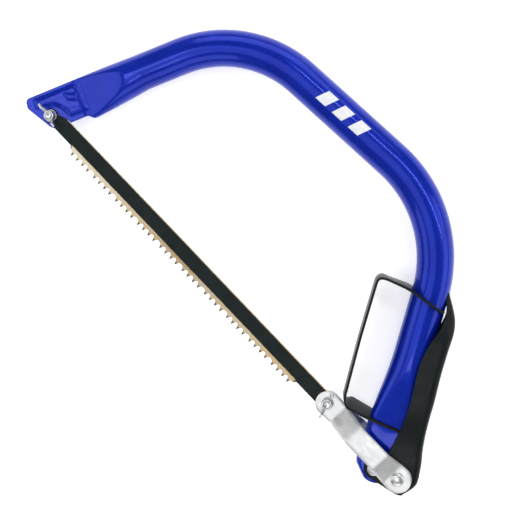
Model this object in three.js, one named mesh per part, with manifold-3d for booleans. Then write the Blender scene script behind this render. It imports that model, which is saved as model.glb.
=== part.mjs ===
// A tubular bow saw with a tension lever, lying flat on its side.
// Millimetres. +X runs along the blade from the nose to the handle, +Y from the teeth to the bow,
// and +Z is up from the surface that the saw lies on.
import * as THREE from 'three';
import { mergeVertices } from 'three/addons/utils/BufferGeometryUtils.js';
import Module from 'manifold-3d';

const wasm = await Module();
wasm.setup();

// ---- Driving dimensions -------------------------------------------------------------------

const GAP = 0.3; // clearance between pieces that touch

// Points of the linkage, measured from the front blade bolt
const BOLT_CENTRES = 285.6; // front bolt to rear bolt, the blade's hole distance
const LINK_CENTRES = 70.8; // rear bolt to link rivet
const PIVOT = new THREE.Vector2(340.45, -7); // lever pivot
const FRONT_BOLT = new THREE.Vector2(0, 0);
const REAR_BOLT = new THREE.Vector2(BOLT_CENTRES, 0);
const LINK_RIVET = new THREE.Vector2(BOLT_CENTRES + LINK_CENTRES, 0);

// Bow tube
const TUBE_RADIUS = 13;
const TUBE_WALL = 1.3;
const FRONT_BEND_RADIUS = 84;
const REAR_BEND_RADIUS = 92;
const NOSE_TILT = THREE.MathUtils.degToRad(-23.5); // nose leg's turn away from square to the blade
const HANDLE_TILT = THREE.MathUtils.degToRad(30); // handle leg's turn away from square to the blade
const NOSE_AXIS_OFFSET = 4.1; // front bolt stands this far to the right of the nose leg's axis
const HANDLE_AXIS_OFFSET = 3.5; // lever pivot stands this far to the left of the handle leg's axis
const NOSE_TIP = -16; // start of the nose leg, measured from the front bolt
const NOSE_CORNER = 154.9; // front bolt to the first corner, along the nose leg
const HANDLE_CORNER = 185.3; // lever pivot to the second corner, along the handle leg
const HANDLE_END = 11.2; // tube beyond the lever pivot

// Pressed nose
const NOSE_PLATE = 1.2; // half the thickness of the pressed plate
const NOSE_DROP = -1.9; // middle of the pressed plate, so that the blade lies in the saw's middle plane
const NOSE_HALF_WIDTH = 13.9;
const NOSE_PANEL_HEIGHT = 2.1;
const NOSE_PLATE_END = 25.3; // plate ends here and the tube starts to open
const NOSE_ROUND = 60; // tube is round from here on
const NOTCH_HALF_WIDTH = 17.4;
const NOTCH_TOP = 29;

// Pressed handle end
const HANDLE_FLAT = 5; // half the thickness of the pressed end
const HANDLE_FLAT_TOP = 38; // pressed flat below this
const HANDLE_ROUND = 70; // round above this
const HANDLE_HALF_WIDTH = 17.6;
const HANDLE_END_SWEEP = 12.4; // reach from the pivot on the lever's side, inside the link rivet's swing

// Blade
const BLADE_THICKNESS = 0.8;
const BLADE_BACK = 7.2;
const BLADE_FRONT = -6.2; // root of the teeth
const BLADE_FRONT_PLAIN = -4.4; // front edge before the first tooth and after the last
const TOOTH_TIP = -9.9;
const BLADE_LEAN = -0.3; // degrees that the blade's edges lean from the line of its bolts
const REAR_HOLE_RADIUS = 4.1; // leaves room for the rear bolt's stray while the lever swings
const BLADE_END_RADIUS = 5.2; // round end about the front bolt
const BLADE_TAPER = 15.6; // the back edge starts to fall towards the round end here
const BLADE_END_REAR = BOLT_CENTRES + 9.5;
const TOOTH_START = 30.5;
const TOOTH_GROUPS = 10;
const TEETH_PER_GROUP = 4;
const GROUP_PITCH = 23.1;
const TOOTH_PITCH = 5.36;
const TOOTH_WIDTH = 2.8;
const TOOTH_MARGIN = 4; // toothed edge beyond the middle of the first and last teeth
const TOOTH_SHOULDER = 0.6; // the teeth stand this far below the gullets

// Fasteners
const BOLT_RADIUS = 2.4;
const BOLT_HEAD_RADIUS = 6;
const BOLT_HEAD_HEIGHT = 2.4;
const BOLT_HEAD_LIP = 0.8; // straight rim of the head
const FRONT_BOLT_TOP = 7.4;
const REAR_BOLT_TOP = 9.2;
const WASHER_RADIUS = 4.4;
const WASHER_THICKNESS = 0.9;
const NUT_FOOT_RADIUS = 4;
const NUT_TOP_RADIUS = 3.5;
const NUT_HEIGHT = 4.4;
const WING_THICKNESS = 2;
const WING_TIP_RADIUS = 1.9;
const PIN_RADIUS = 3;
const PIN_HEAD_RADIUS = 4.8;
const BUSH_RADIUS = 5.6;
const RIVET_RADIUS = 2.5;
const RIVET_HEAD_RADIUS = 4.7;

// Link plates
const SPACER_RADIUS = 4.4;
const LINK_SHEET = 1.5;
const LINK_MIDDLE_INNER = 12.4; // half the space between the plates, between the joggles
const LINK_WIDTH_REAR = 20; // round end at the lever
const LINK_WIDTH_MIDDLE = 16.2;
const LINK_WIDTH_FRONT = 17.4; // round end at the blade
const LINK_FOLDS = [296.4, 312.7, 339.6, 351]; // ends of the two joggles, along the blade

// Tension lever, a pressed channel
const LEVER_SHEET = 1.5;
const LEVER_HALF_WIDTH = 9.7; // at the link
const LEVER_BELLY_HALF_WIDTH = 13.4; // where the channel nests over the round tube
const LEVER_TIP_HALF_WIDTH = 6;
const LEVER_CORNER = 4.6;
const LEVER_EYE_RADIUS = 7.4; // cheeks round the pivot pin

// Knuckle guard
const GUARD_SHEET = 1.8;
const GUARD_WIDTH = 20;
const GUARD_RING_WIDTH = 32.6;
const GUARD_LEAN = 0.24; // radians that the lower arm leans
const GUARD_STRIP_LEAN = 0.085; // radians that the long strip leans, the other way

// ---- Materials ----------------------------------------------------------------------------

const FINISHES = {
  blueEnamel: { color: 0x1226b4, roughness: 0.22, metalness: 0.1 },
  blackPaint: { color: 0x15171a, roughness: 0.35, metalness: 0.1 },
  zincPlate: { color: 0xc9cdd0, roughness: 0.3, metalness: 0.95 },
  bladeSteel: { color: 0x202428, roughness: 0.45, metalness: 0.4 },
};

function finish(name) {
  return new THREE.MeshStandardMaterial(FINISHES[name]);
}

// ---- Solids -------------------------------------------------------------------------------

function toSolid(geometry) {
  const bare = geometry.clone();
  bare.deleteAttribute('normal');
  bare.deleteAttribute('uv');
  const merged = mergeVertices(bare, 1e-5);
  return new wasm.Manifold(new wasm.Mesh({
    numProp: 3,
    vertProperties: new Float32Array(merged.attributes.position.array),
    triVerts: new Uint32Array(merged.index.array),
  }));
}

function toGeometry(solid) {
  const mesh = solid.getMesh();
  const geometry = new THREE.BufferGeometry();
  geometry.setAttribute('position', new THREE.BufferAttribute(new Float32Array(mesh.vertProperties), 3));
  geometry.setIndex(Array.from(mesh.triVerts));
  geometry.computeVertexNormals();
  return geometry;
}

// A prism of a flat outline between two heights.
function prism(shape, low, high, curveSegments = 10) {
  const settings = { depth: high - low, bevelEnabled: false, curveSegments };
  const geometry = new THREE.ExtrudeGeometry(shape, settings);
  geometry.translate(0, 0, low);
  return toSolid(geometry);
}

// A solid of revolution about Z. The profile is a list of [radius, height].
function turned(profile, segments = 24) {
  const geometry = new THREE.LatheGeometry(profile.map(([r, z]) => new THREE.Vector2(r, z)), segments);
  geometry.rotateX(Math.PI / 2);
  return toSolid(geometry);
}

function rod(radius, low, high, segments = 24) {
  return turned([[0, low], [radius, low], [radius, high], [0, high]], segments);
}

function ring(inner, outer, low, high, segments = 24) {
  return turned([[inner, low], [outer, low], [outer, high], [inner, high], [inner, low]], segments);
}

// Joins closed sections, each a list of the same number of 3-D points, and closes both ends.
function loft(sections, outline) {
  const count = sections[0].length;
  const positions = sections.flat().flatMap((p) => [p.x, p.y, p.z]);
  const index = [];
  for (let s = 0; s + 1 < sections.length; s += 1) {
    for (let i = 0; i < count; i += 1) {
      const a = s * count + i;
      const b = s * count + ((i + 1) % count);
      index.push(a, b, b + count, a, b + count, a + count);
    }
  }
  const last = (sections.length - 1) * count;
  for (const [a, b, c] of THREE.ShapeUtils.triangulateShape(outline, [])) {
    index.push(a, c, b);
    index.push(last + a, last + b, last + c);
  }
  const geometry = new THREE.BufferGeometry();
  geometry.setAttribute('position', new THREE.Float32BufferAttribute(positions, 3));
  geometry.setIndex(index);
  const solid = toSolid(geometry);
  if (solid.volume() > 0) return solid;
  geometry.setIndex(index.map((_, k) => index[k - (k % 3) + [0, 2, 1][k % 3]]));
  return toSolid(geometry);
}

// ---- Paths --------------------------------------------------------------------------------

// Samples a path of straight runs whose corners are rounded, as points with unit tangents and the
// distance run along the path.
function roundedPath(corners, radii, step) {
  const path = new THREE.CurvePath();
  let from = corners[0];
  for (let i = 1; i + 1 < corners.length; i += 1) {
    const before = corners[i].clone().sub(corners[i - 1]).normalize();
    const after = corners[i + 1].clone().sub(corners[i]).normalize();
    const turn = Math.atan2(before.cross(after), before.dot(after));
    const radius = radii[i - 1];
    const setback = radius * Math.tan(Math.abs(turn) / 2);
    const arcStart = corners[i].clone().addScaledVector(before, -setback);
    const arcEnd = corners[i].clone().addScaledVector(after, setback);
    const side = Math.sign(turn);
    const inward = new THREE.Vector2(-before.y, before.x).multiplyScalar(side * radius);
    const centre = arcStart.clone().add(inward);
    const startAngle = Math.atan2(arcStart.y - centre.y, arcStart.x - centre.x);
    path.add(new THREE.LineCurve(from, arcStart));
    const endAngle = startAngle + turn;
    path.add(new THREE.EllipseCurve(centre.x, centre.y, radius, radius, startAngle, endAngle, side < 0));
    from = arcEnd;
  }
  path.add(new THREE.LineCurve(from, corners[corners.length - 1]));
  const samples = [];
  let run = 0;
  path.curves.forEach((curve, k) => {
    const length = curve.getLength();
    const steps = Math.max(1, Math.round(length / step(curve, k)));
    for (let i = k === 0 ? 0 : 1; i <= steps; i += 1) {
      const at = i / steps;
      const point = curve.getPointAt(at);
      const tangent = curve.getTangentAt(at).normalize();
      samples.push({ point, tangent, run: run + at * length });
    }
    run += length;
  });
  return samples;
}

// Eases from 0 to 1 as value goes from low to high.
function ease(value, low, high) {
  return THREE.MathUtils.smoothstep(value, low, high);
}

// Straight interpolation in a list of [position, value], held at its ends.
function along(table, position) {
  const next = table.findIndex(([at]) => at > position);
  if (next === 0) return table[0][1];
  if (next < 0) return table[table.length - 1][1];
  const [a, va] = table[next - 1];
  const [b, vb] = table[next];
  return va + ((vb - va) * (position - a)) / (b - a);
}

// A flat strip bent along a path: widthAt gives its width and rollAt its lean at each sample.
function ribbon(samples, thickness, widthAt, place, rollAt = () => 0) {
  const corner = [[-0.5, -0.5], [0.5, -0.5], [0.5, 0.5], [-0.5, 0.5]];
  const sections = samples.map((sample) => {
    const normal = new THREE.Vector2(-sample.tangent.y, sample.tangent.x);
    const width = widthAt(sample);
    const roll = rollAt(sample);
    return corner.map(([a, b]) => {
      const across = a * thickness + b * width * Math.sin(roll);
      const flat = sample.point.clone().addScaledVector(normal, across);
      return place(flat, b * width * Math.cos(roll));
    });
  });
  return loft(sections, corner.map(([a, b]) => new THREE.Vector2(a, b)));
}

function polygon(points) {
  return new THREE.Shape(points.map(([x, y]) => new THREE.Vector2(x, y)));
}

// A slot or a round-ended bar between two points.
function stadium(from, to, radiusFrom, radiusTo = radiusFrom) {
  const shape = new THREE.Shape();
  const heading = Math.atan2(to.y - from.y, to.x - from.x);
  const distance = Math.hypot(to.y - from.y, to.x - from.x);
  const lean = Math.asin((radiusFrom - radiusTo) / distance);
  const upper = heading + Math.PI / 2 - lean;
  const lower = heading - Math.PI / 2 + lean;
  shape.absarc(from.x, from.y, radiusFrom, upper, lower + 2 * Math.PI, false);
  shape.absarc(to.x, to.y, radiusTo, lower, upper, false);
  return shape;
}

// ---- Bow tube -----------------------------------------------------------------------------

const noseAxis = new THREE.Vector2(-Math.sin(NOSE_TILT), Math.cos(NOSE_TILT));
const noseFoot = new THREE.Vector2(Math.cos(NOSE_TILT), Math.sin(NOSE_TILT));
noseFoot.multiplyScalar(-NOSE_AXIS_OFFSET);
const handleAxis = new THREE.Vector2(-Math.sin(HANDLE_TILT), Math.cos(HANDLE_TILT));
const handleFoot = PIVOT.clone().add(
  new THREE.Vector2(Math.cos(HANDLE_TILT), Math.sin(HANDLE_TILT)).multiplyScalar(HANDLE_AXIS_OFFSET),
);

function tubeSamples() {
  const corners = [
    noseFoot.clone().addScaledVector(noseAxis, NOSE_TIP),
    noseFoot.clone().addScaledVector(noseAxis, NOSE_CORNER),
    handleFoot.clone().addScaledVector(handleAxis, HANDLE_CORNER),
    handleFoot.clone().addScaledVector(handleAxis, -HANDLE_END),
  ];
  const stepOf = (curve, k) => [5.2, 11, 30, 11, 5.2][k];
  return roundedPath(corners, [FRONT_BEND_RADIUS, REAR_BEND_RADIUS], stepOf);
}

// The smaller of two heights, blended where they meet.
function softMin(a, b) {
  const power = 8;
  return a <= 0 ? 0 : (a ** -power + b ** -power) ** (-1 / power);
}

// Half height, middle height and the half widths left and right of the tube at a distance from the
// nose's bolt (along the nose leg) and from the lever's pivot (along the handle leg).
function tubeForm(fromNose, fromPivot) {
  const open = ease(fromNose, NOSE_PLATE_END, NOSE_ROUND);
  const pressed = fromNose < NOSE_PLATE_END - 1.5;
  const rising = along([[NOSE_PLATE_END, 3.2], [NOSE_ROUND, 16], [80, 60]], fromNose);
  const noseHeight = pressed ? NOSE_PLATE : rising;
  const handleHeight = along([[HANDLE_FLAT_TOP, HANDLE_FLAT], [HANDLE_ROUND, 13.6], [95, 60]], fromPivot);
  const flareStart = ease(fromNose, NOSE_PLATE_END - 1.5, NOTCH_TOP - 1);
  const flare = flareStart * (1 - ease(fromNose, NOTCH_TOP, NOSE_ROUND + 8));
  const spread = 1 - ease(fromPivot, 20, HANDLE_ROUND);
  const wide = THREE.MathUtils.lerp(NOSE_HALF_WIDTH, TUBE_RADIUS, open);
  const left = THREE.MathUtils.lerp(wide, HANDLE_HALF_WIDTH, spread);
  return {
    halfHeight: Math.min(noseHeight, handleHeight),
    middle: NOSE_DROP * (1 - ease(fromNose, NOSE_PLATE_END, 50)),
    left,
    right: left + flare * (NOTCH_HALF_WIDTH - NOSE_HALF_WIDTH),
  };
}

function tubeSkin(samples, total, inset, segments) {
  const circle = Array.from({ length: segments }, (_, i) => (2 * Math.PI * (i + 0.5)) / segments);
  const sections = samples.map(({ point, tangent, run }) => {
    const form = tubeForm(run + NOSE_TIP, total - run - HANDLE_END);
    const normal = new THREE.Vector2(-tangent.y, tangent.x);
    const height = Math.max(0.4, form.halfHeight - inset);
    return circle.map((angle) => {
      const side = Math.cos(angle);
      const half = (side > 0 ? form.left : form.right) - inset;
      const rise = softMin((TUBE_RADIUS - inset) * Math.abs(Math.sin(angle)), height);
      const flat = point.clone().addScaledVector(normal, half * side);
      return new THREE.Vector3(flat.x, flat.y, form.middle + Math.sign(Math.sin(angle)) * rise);
    });
  });
  return loft(sections, circle.map((a) => new THREE.Vector2(Math.cos(a), Math.sin(a))));
}

// The tube grown by the gap that its neighbours keep from it, in the handle's place.
function tubeClearance() {
  const samples = tubeSamples();
  const grown = tubeSkin(samples, samples[samples.length - 1].run, -GAP - 0.15, 28);
  return grown.translate([-PIVOT.x, -PIVOT.y, 0]).rotate([0, 0, -THREE.MathUtils.radToDeg(HANDLE_TILT)]);
}

function inNose(solid) {
  return solid.rotate([0, 0, THREE.MathUtils.radToDeg(NOSE_TILT)]).translate([noseFoot.x, noseFoot.y, 0]);
}

function inHandle(solid) {
  return solid.rotate([0, 0, THREE.MathUtils.radToDeg(HANDLE_TILT)]).translate([PIVOT.x, PIVOT.y, 0]);
}

// Everything above the nose's cut end and its notch.
function noseTrim() {
  const shape = new THREE.Shape();
  shape.moveTo(-60, 900);
  shape.lineTo(-60, -11);
  shape.lineTo(-NOSE_HALF_WIDTH, -11);
  shape.quadraticCurveTo(-NOSE_HALF_WIDTH, -14, -10.6, -14.3);
  shape.quadraticCurveTo(-7.4, -14.6, -4.6, -13.4);
  shape.lineTo(10.6, -4.2);
  shape.quadraticCurveTo(NOSE_HALF_WIDTH, -2, NOSE_HALF_WIDTH, 2.4);
  shape.lineTo(NOSE_HALF_WIDTH, NOSE_PLATE_END - 1);
  shape.quadraticCurveTo(NOSE_HALF_WIDTH, NOSE_PLATE_END, 15, 26.4);
  shape.lineTo(NOTCH_HALF_WIDTH, NOTCH_TOP);
  shape.lineTo(900, NOTCH_TOP);
  shape.lineTo(900, 900);
  return prism(shape, -40, 40, 6);
}

// Everything above the rounded end below the lever's pivot.
function handleTrim() {
  const left = HANDLE_AXIS_OFFSET - HANDLE_HALF_WIDTH;
  const right = HANDLE_AXIS_OFFSET + HANDLE_HALF_WIDTH;
  const shape = new THREE.Shape();
  shape.moveTo(-900, 900);
  shape.lineTo(-900, 3.4);
  shape.lineTo(left, 3.4);
  shape.quadraticCurveTo(left, 0.8, left + 1.8, -1.4);
  shape.lineTo(-6.4, -9.2);
  shape.quadraticCurveTo(-4.6, -HANDLE_END, -1.6, -HANDLE_END);
  shape.absarc(0, 0, HANDLE_END_SWEEP, Math.asin(-HANDLE_END / HANDLE_END_SWEEP), 0, false);
  shape.lineTo(HANDLE_END_SWEEP, 6);
  shape.lineTo(right, 20);
  shape.lineTo(900, 20);
  shape.lineTo(900, 900);
  return prism(shape, -40, 40, 8);
}

// The raised panel pressed into the nose plate beside the blade's end.
function nosePanel() {
  const bevel = 1.2;
  const shape = polygon([
    [-10.6, -7.5], [-4.6, -7.5], [-3.6, -0.5], [-2.3, 4.9],
    [1, 8.9], [9.2, 13.6], [9.2, 24.4], [-10.6, 24.4],
  ]);
  const options = { depth: 1, bevelThickness: bevel, bevelSize: bevel, bevelSegments: 2 };
  const geometry = new THREE.ExtrudeGeometry(shape, options);
  geometry.translate(0, 0, NOSE_DROP + NOSE_PLATE + NOSE_PANEL_HEIGHT - bevel - 1);
  return toSolid(geometry);
}

function frameTube() {
  const samples = tubeSamples();
  const total = samples[samples.length - 1].run;
  const outer = tubeSkin(samples, total, 0, 26);
  const hollow = samples.filter(({ run }) => run + NOSE_TIP > NOSE_PLATE_END + 6);
  const end = samples[samples.length - 1];
  const beyondPoint = end.point.clone().addScaledVector(end.tangent, 2);
  const beyond = { point: beyondPoint, tangent: end.tangent, run: total };
  const inner = tubeSkin([...hollow, beyond], total, TUBE_WALL, 14);
  return outer
    .add(inNose(nosePanel()))
    .intersect(inNose(noseTrim()))
    .intersect(inHandle(handleTrim()))
    .subtract(inner)
    .subtract(rod(BOLT_RADIUS + GAP, -20, 20))
    .subtract(inHandle(rod(PIN_RADIUS + GAP, -20, 20)));
}

// ---- Blade --------------------------------------------------------------------------------

function blade() {
  const shape = new THREE.Shape();
  const rear = BLADE_END_REAR;
  const corner = 2.5;
  const roundStart = THREE.MathUtils.degToRad(50);
  const roundEnd = Math.asin(BLADE_FRONT_PLAIN / BLADE_END_RADIUS) + 2 * Math.PI;
  shape.moveTo(BLADE_TAPER, BLADE_BACK);
  const roundX = BLADE_END_RADIUS * Math.cos(roundStart);
  const roundY = BLADE_END_RADIUS * Math.sin(roundStart);
  shape.quadraticCurveTo(8.6, 7, roundX, roundY);
  shape.absarc(0, 0, BLADE_END_RADIUS, roundStart, roundEnd, false);
  shape.lineTo(TOOTH_START - TOOTH_MARGIN - 1, BLADE_FRONT_PLAIN);
  shape.lineTo(TOOTH_START - TOOTH_MARGIN, BLADE_FRONT);
  const halfTooth = TOOTH_WIDTH / 2;
  for (let group = 0; group < TOOTH_GROUPS; group += 1) {
    for (let tooth = 0; tooth < TEETH_PER_GROUP; tooth += 1) {
      const middle = TOOTH_START + group * GROUP_PITCH + tooth * TOOTH_PITCH;
      const last = tooth === TEETH_PER_GROUP - 1;
      const next = last ? GROUP_PITCH - (TEETH_PER_GROUP - 1) * TOOTH_PITCH : TOOTH_PITCH;
      const reach = last && group === TOOTH_GROUPS - 1 ? 2 * TOOTH_MARGIN : next;
      shape.lineTo(middle - halfTooth, BLADE_FRONT - TOOTH_SHOULDER);
      shape.lineTo(middle, TOOTH_TIP);
      shape.lineTo(middle + halfTooth, BLADE_FRONT - TOOTH_SHOULDER);
      shape.lineTo(middle + reach / 2, BLADE_FRONT);
    }
  }
  const lastTooth = TOOTH_START + (TOOTH_GROUPS - 1) * GROUP_PITCH + (TEETH_PER_GROUP - 1) * TOOTH_PITCH;
  shape.lineTo(lastTooth + TOOTH_MARGIN + 1, BLADE_FRONT_PLAIN);
  shape.lineTo(rear - corner, BLADE_FRONT_PLAIN);
  shape.lineTo(rear, BLADE_FRONT_PLAIN + corner);
  shape.lineTo(rear, BLADE_BACK - corner);
  shape.lineTo(rear - corner, BLADE_BACK);
  const half = BLADE_THICKNESS / 2;
  const slotFrom = new THREE.Vector2(BOLT_CENTRES + 1.1, -1.07);
  const slotTo = new THREE.Vector2(BOLT_CENTRES + 1.6, -1.07);
  return prism(shape, -half, half)
    .rotate([0, 0, BLADE_LEAN])
    .subtract(rod(BOLT_RADIUS + GAP, -5, 5))
    .subtract(prism(stadium(slotFrom, slotTo, REAR_HOLE_RADIUS), -5, 5));
}

// ---- Blade bolts, washers and wing nuts ---------------------------------------------------

// A round-head bolt, head down, whose shank passes up to the given height.
function bolt(seat, top) {
  return turned([
    [0, seat - BOLT_HEAD_HEIGHT],
    [BOLT_HEAD_RADIUS * 0.55, seat - BOLT_HEAD_HEIGHT * 0.92],
    [BOLT_HEAD_RADIUS * 0.88, seat - BOLT_HEAD_HEIGHT * 0.62],
    [BOLT_HEAD_RADIUS, seat - BOLT_HEAD_LIP],
    [BOLT_HEAD_RADIUS, seat],
    [BOLT_RADIUS, seat],
    [BOLT_RADIUS, top - 0.6],
    [BOLT_RADIUS - 0.6, top],
    [0, top],
  ]);
}

function washer(seat) {
  return ring(BOLT_RADIUS + GAP, WASHER_RADIUS, seat, seat + WASHER_THICKNESS);
}

// A wing nut standing on Z = 0, its wings along X.
function wingNut() {
  const bore = BOLT_RADIUS + GAP;
  const boss = turned([
    [bore, 0], [NUT_FOOT_RADIUS, 0], [NUT_FOOT_RADIUS, 1],
    [NUT_TOP_RADIUS, NUT_HEIGHT], [bore, NUT_HEIGHT], [bore, 0],
  ]);
  const wing = new THREE.Shape();
  wing.moveTo(3, 0.8);
  wing.lineTo(4.6, 1.5);
  wing.quadraticCurveTo(7.6, 3.6, 9.6, 7.6);
  wing.absarc(8, 9, WING_TIP_RADIUS, -0.4, Math.PI * 0.8, false);
  wing.quadraticCurveTo(5.4, 6.6, 3, 4);
  const settings = { depth: WING_THICKNESS, bevelEnabled: false, curveSegments: 6 };
  const geometry = new THREE.ExtrudeGeometry(wing, settings);
  geometry.rotateX(Math.PI / 2);
  geometry.translate(0, WING_THICKNESS / 2, 0);
  const oneWing = toSolid(geometry);
  return boss.add(oneWing).add(oneWing.rotate([0, 0, 180]));
}

// ---- Link plates --------------------------------------------------------------------------

const bladeFace = BLADE_THICKNESS / 2;
const LINK_LOW = bladeFace + GAP + LINK_SHEET / 2;
const LINK_MIDDLE = LINK_MIDDLE_INNER + LINK_SHEET / 2;
const LINK_HIGH = LEVER_HALF_WIDTH + GAP + LINK_SHEET / 2;

function linkPlate(side) {
  const [foldA, foldB, foldC, foldD] = LINK_FOLDS;
  const start = REAR_BOLT.x - 15;
  const end = LINK_RIVET.x + 15;
  const corners = [
    [start, LINK_LOW], [foldA, LINK_LOW], [foldB, LINK_MIDDLE], [foldC, LINK_MIDDLE], [foldD, LINK_HIGH],
    [end, LINK_HIGH],
  ].map(([x, z]) => new THREE.Vector2(x, z));
  const samples = roundedPath(corners, [2.4, 2.4, 4, 4], (curve) => (curve.isLineCurve ? 100 : 0.9));
  const place = (flat, width) => new THREE.Vector3(flat.x, width, flat.y * side);
  const strip = ribbon(samples, LINK_SHEET, () => 30, place);
  const half = LINK_WIDTH_MIDDLE / 2;
  const slab = (from, to, reach, depth) => {
    return prism(polygon([[from, -reach], [to, -reach], [to, reach], [from, reach]]), -depth, depth);
  };
  const bar = slab(foldA, foldC, half, 40);
  const frontEnd = rod(LINK_WIDTH_FRONT / 2, -40, 40, 36).translate([REAR_BOLT.x, 0, 0]);
  const rearEnd = rod(LINK_WIDTH_REAR / 2, -40, 40, 36).translate([LINK_RIVET.x, 0, 0]);
  const frontFlare = wasm.Manifold.hull([bar, frontEnd]).subtract(slab(foldA, 900, 30, 50));
  const rearFlare = wasm.Manifold.hull([bar, rearEnd]).subtract(slab(0, foldC, 30, 50));
  const plan = bar.add(frontFlare).add(rearFlare);
  return strip
    .intersect(plan)
    .subtract(rod(BOLT_RADIUS + GAP, -40, 40).translate([REAR_BOLT.x, 0, 0]))
    .subtract(rod(RIVET_RADIUS + GAP, -40, 40).translate([LINK_RIVET.x, 0, 0]));
}

// ---- Lever --------------------------------------------------------------------------------

// The lever is drawn from its pivot: X to the right of the handle leg's axis, Y up along it.
const SPINE = [
  [-14, 22.4], [-12, 25], [-8, 28.3], [-4.6, 31.2], [0, 31.8], [12, 30.7], [22, 28.7], [32, 27.6],
  [45, 27], [57, 27], [77, 26.1], [95, 26.2], [105, 26.7], [110, 26.4], [115, 25.3], [119, 23.8],
  [123, 21.6], [128, 18.6], [133, 15.6],
];
const LEVER_TIP = 133;

// Section across the lever at one height: a box open on the tube's side, its back corners rounded.
function channelSection(height, back, halfWidth, radius) {
  const steps = 4;
  const front = -14;
  const points = [[front, -halfWidth]];
  for (const side of [-1, 1]) {
    for (let k = 0; k <= steps; k += 1) {
      const angle = (side < 0 ? -Math.PI / 2 : 0) + (k / steps) * (Math.PI / 2);
      const x = back - radius + radius * Math.cos(angle);
      points.push([x, side * (halfWidth - radius) + radius * Math.sin(angle)]);
    }
  }
  points.push([front, halfWidth]);
  return points.map(([x, z]) => new THREE.Vector3(x, height, z));
}

function leverHalfWidth(height) {
  const belly = (LEVER_BELLY_HALF_WIDTH - LEVER_HALF_WIDTH) * ease(height, 20, 52);
  const taper = (LEVER_BELLY_HALF_WIDTH - LEVER_TIP_HALF_WIDTH) * ease(height, 96, LEVER_TIP);
  return LEVER_HALF_WIDTH + belly - taper;
}

function channelBlock(inset, low, high) {
  const heights = SPINE.map(([y]) => y).filter((y) => y > low && y < high);
  const sections = [low, ...heights, high].map((height) => {
    const back = along(SPINE, height) - inset;
    return channelSection(height, back, leverHalfWidth(height) - inset, LEVER_CORNER - inset);
  });
  return loft(sections, sections[0].map((p) => new THREE.Vector2(p.x, p.z)));
}

// Outline of the lever's cheeks.
function cheekOutline() {
  const shape = new THREE.Shape();
  shape.moveTo(60, -14);
  shape.lineTo(60, LEVER_TIP);
  shape.lineTo(14, LEVER_TIP);
  shape.quadraticCurveTo(15, 127, 16.9, 122.6);
  shape.quadraticCurveTo(18.9, 118, 17.7, 112.5);
  shape.quadraticCurveTo(16.6, 106, 14.2, 100);
  shape.quadraticCurveTo(10.3, 90, 9.8, 77);
  shape.lineTo(11, 54);
  shape.quadraticCurveTo(11.3, 42, 9.8, 31.5);
  shape.quadraticCurveTo(7.9, 17, 5, 9.6);
  shape.quadraticCurveTo(-1, 7.8, -5.6, 4.8);
  shape.absarc(0, 0, LEVER_EYE_RADIUS, THREE.MathUtils.degToRad(139), THREE.MathUtils.degToRad(262), false);
  shape.lineTo(9, -10);
  shape.quadraticCurveTo(16, -13.2, 24, -13.2);
  shape.lineTo(30, -14);
  return shape;
}

function leverChannel() {
  const rivet = LINK_RIVET.clone().sub(PIVOT).rotateAround(new THREE.Vector2(), -HANDLE_TILT);
  return channelBlock(0, -13.6, LEVER_TIP)
    .subtract(channelBlock(LEVER_SHEET, -20, LEVER_TIP + 2))
    .intersect(prism(cheekOutline(), -40, 40, 6))
    .subtract(rod(PIN_RADIUS + GAP, -40, 40))
    .subtract(rod(RIVET_RADIUS + GAP, -40, 40).translate([rivet.x, rivet.y, 0]))
    .subtract(tubeClearance());
}

// ---- Knuckle guard ------------------------------------------------------------------------

// Drawn from the lever's pivot like the lever. The upper end is a ring that the tube passes through
// and the lower end is a fork that straddles the pressed tube.
function knuckleGuard() {
  const corners = [
    [16, 118.6], [10.4, 120.8], [-12, 128.9], [-34.8, 131.4],
    [-35.2, 86], [-34.2, 39.4], [-14, 34.8], [12, 31],
  ].map(([x, y]) => new THREE.Vector2(x, y));
  const radii = [30, 30, 5, 300, 5, 20];
  const samples = roundedPath(corners, radii, (curve) => (curve.isLineCurve ? 6 : 2.2));
  const upper = [[-28, GUARD_WIDTH], [-12, GUARD_RING_WIDTH], [9, GUARD_RING_WIDTH], [16, GUARD_WIDTH]];
  const lower = [[-30, GUARD_WIDTH], [-17, 18.4], [6, 15.2]];
  const widthAt = ({ point }) => along(point.y > 80 ? upper : lower, point.x);
  // The long strip leans one way, the lower arm the other way and the upper arm not at all.
  const rollAt = ({ point }) => {
    if (point.y > 80) return GUARD_STRIP_LEAN * (1 - ease(point.x, -34.6, -26));
    return GUARD_STRIP_LEAN - (GUARD_LEAN + GUARD_STRIP_LEAN) * ease(point.x, -34, -29);
  };
  const place = (flat, width) => new THREE.Vector3(flat.x, flat.y, width);
  return ribbon(samples, GUARD_SHEET, widthAt, place, rollAt).subtract(tubeClearance());
}

// ---- Rivets and bushes --------------------------------------------------------------------

// A headed pin along Z, the same at both ends but for the height of its heads.
function headedPin(radius, headRadius, seat, rim, crown) {
  const half = [
    [0, seat + crown],
    [headRadius * 0.45, seat + crown * 0.92],
    [headRadius * 0.8, seat + rim + (crown - rim) * 0.52],
    [headRadius, seat + rim],
    [headRadius, seat],
    [radius, seat],
  ];
  const mirrored = half.map(([r, z]) => [r, -z]).reverse();
  return turned([...half, ...mirrored].reverse());
}

// ---- Assembly -----------------------------------------------------------------------------

const saw = new THREE.Group();
const handle = new THREE.Group();
handle.position.set(PIVOT.x, PIVOT.y, 0);
handle.rotation.z = HANDLE_TILT;
saw.add(handle);

function place(name, solid, look, parent = saw, at = [0, 0, 0], turn = 0) {
  const mesh = new THREE.Mesh(toGeometry(solid), finish(look));
  mesh.name = name;
  mesh.position.set(...at);
  mesh.rotation.z = turn;
  parent.add(mesh);
  return mesh;
}

const tubeSolid = frameTube();
place('frame_tube', tubeSolid, 'blueEnamel');

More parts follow.
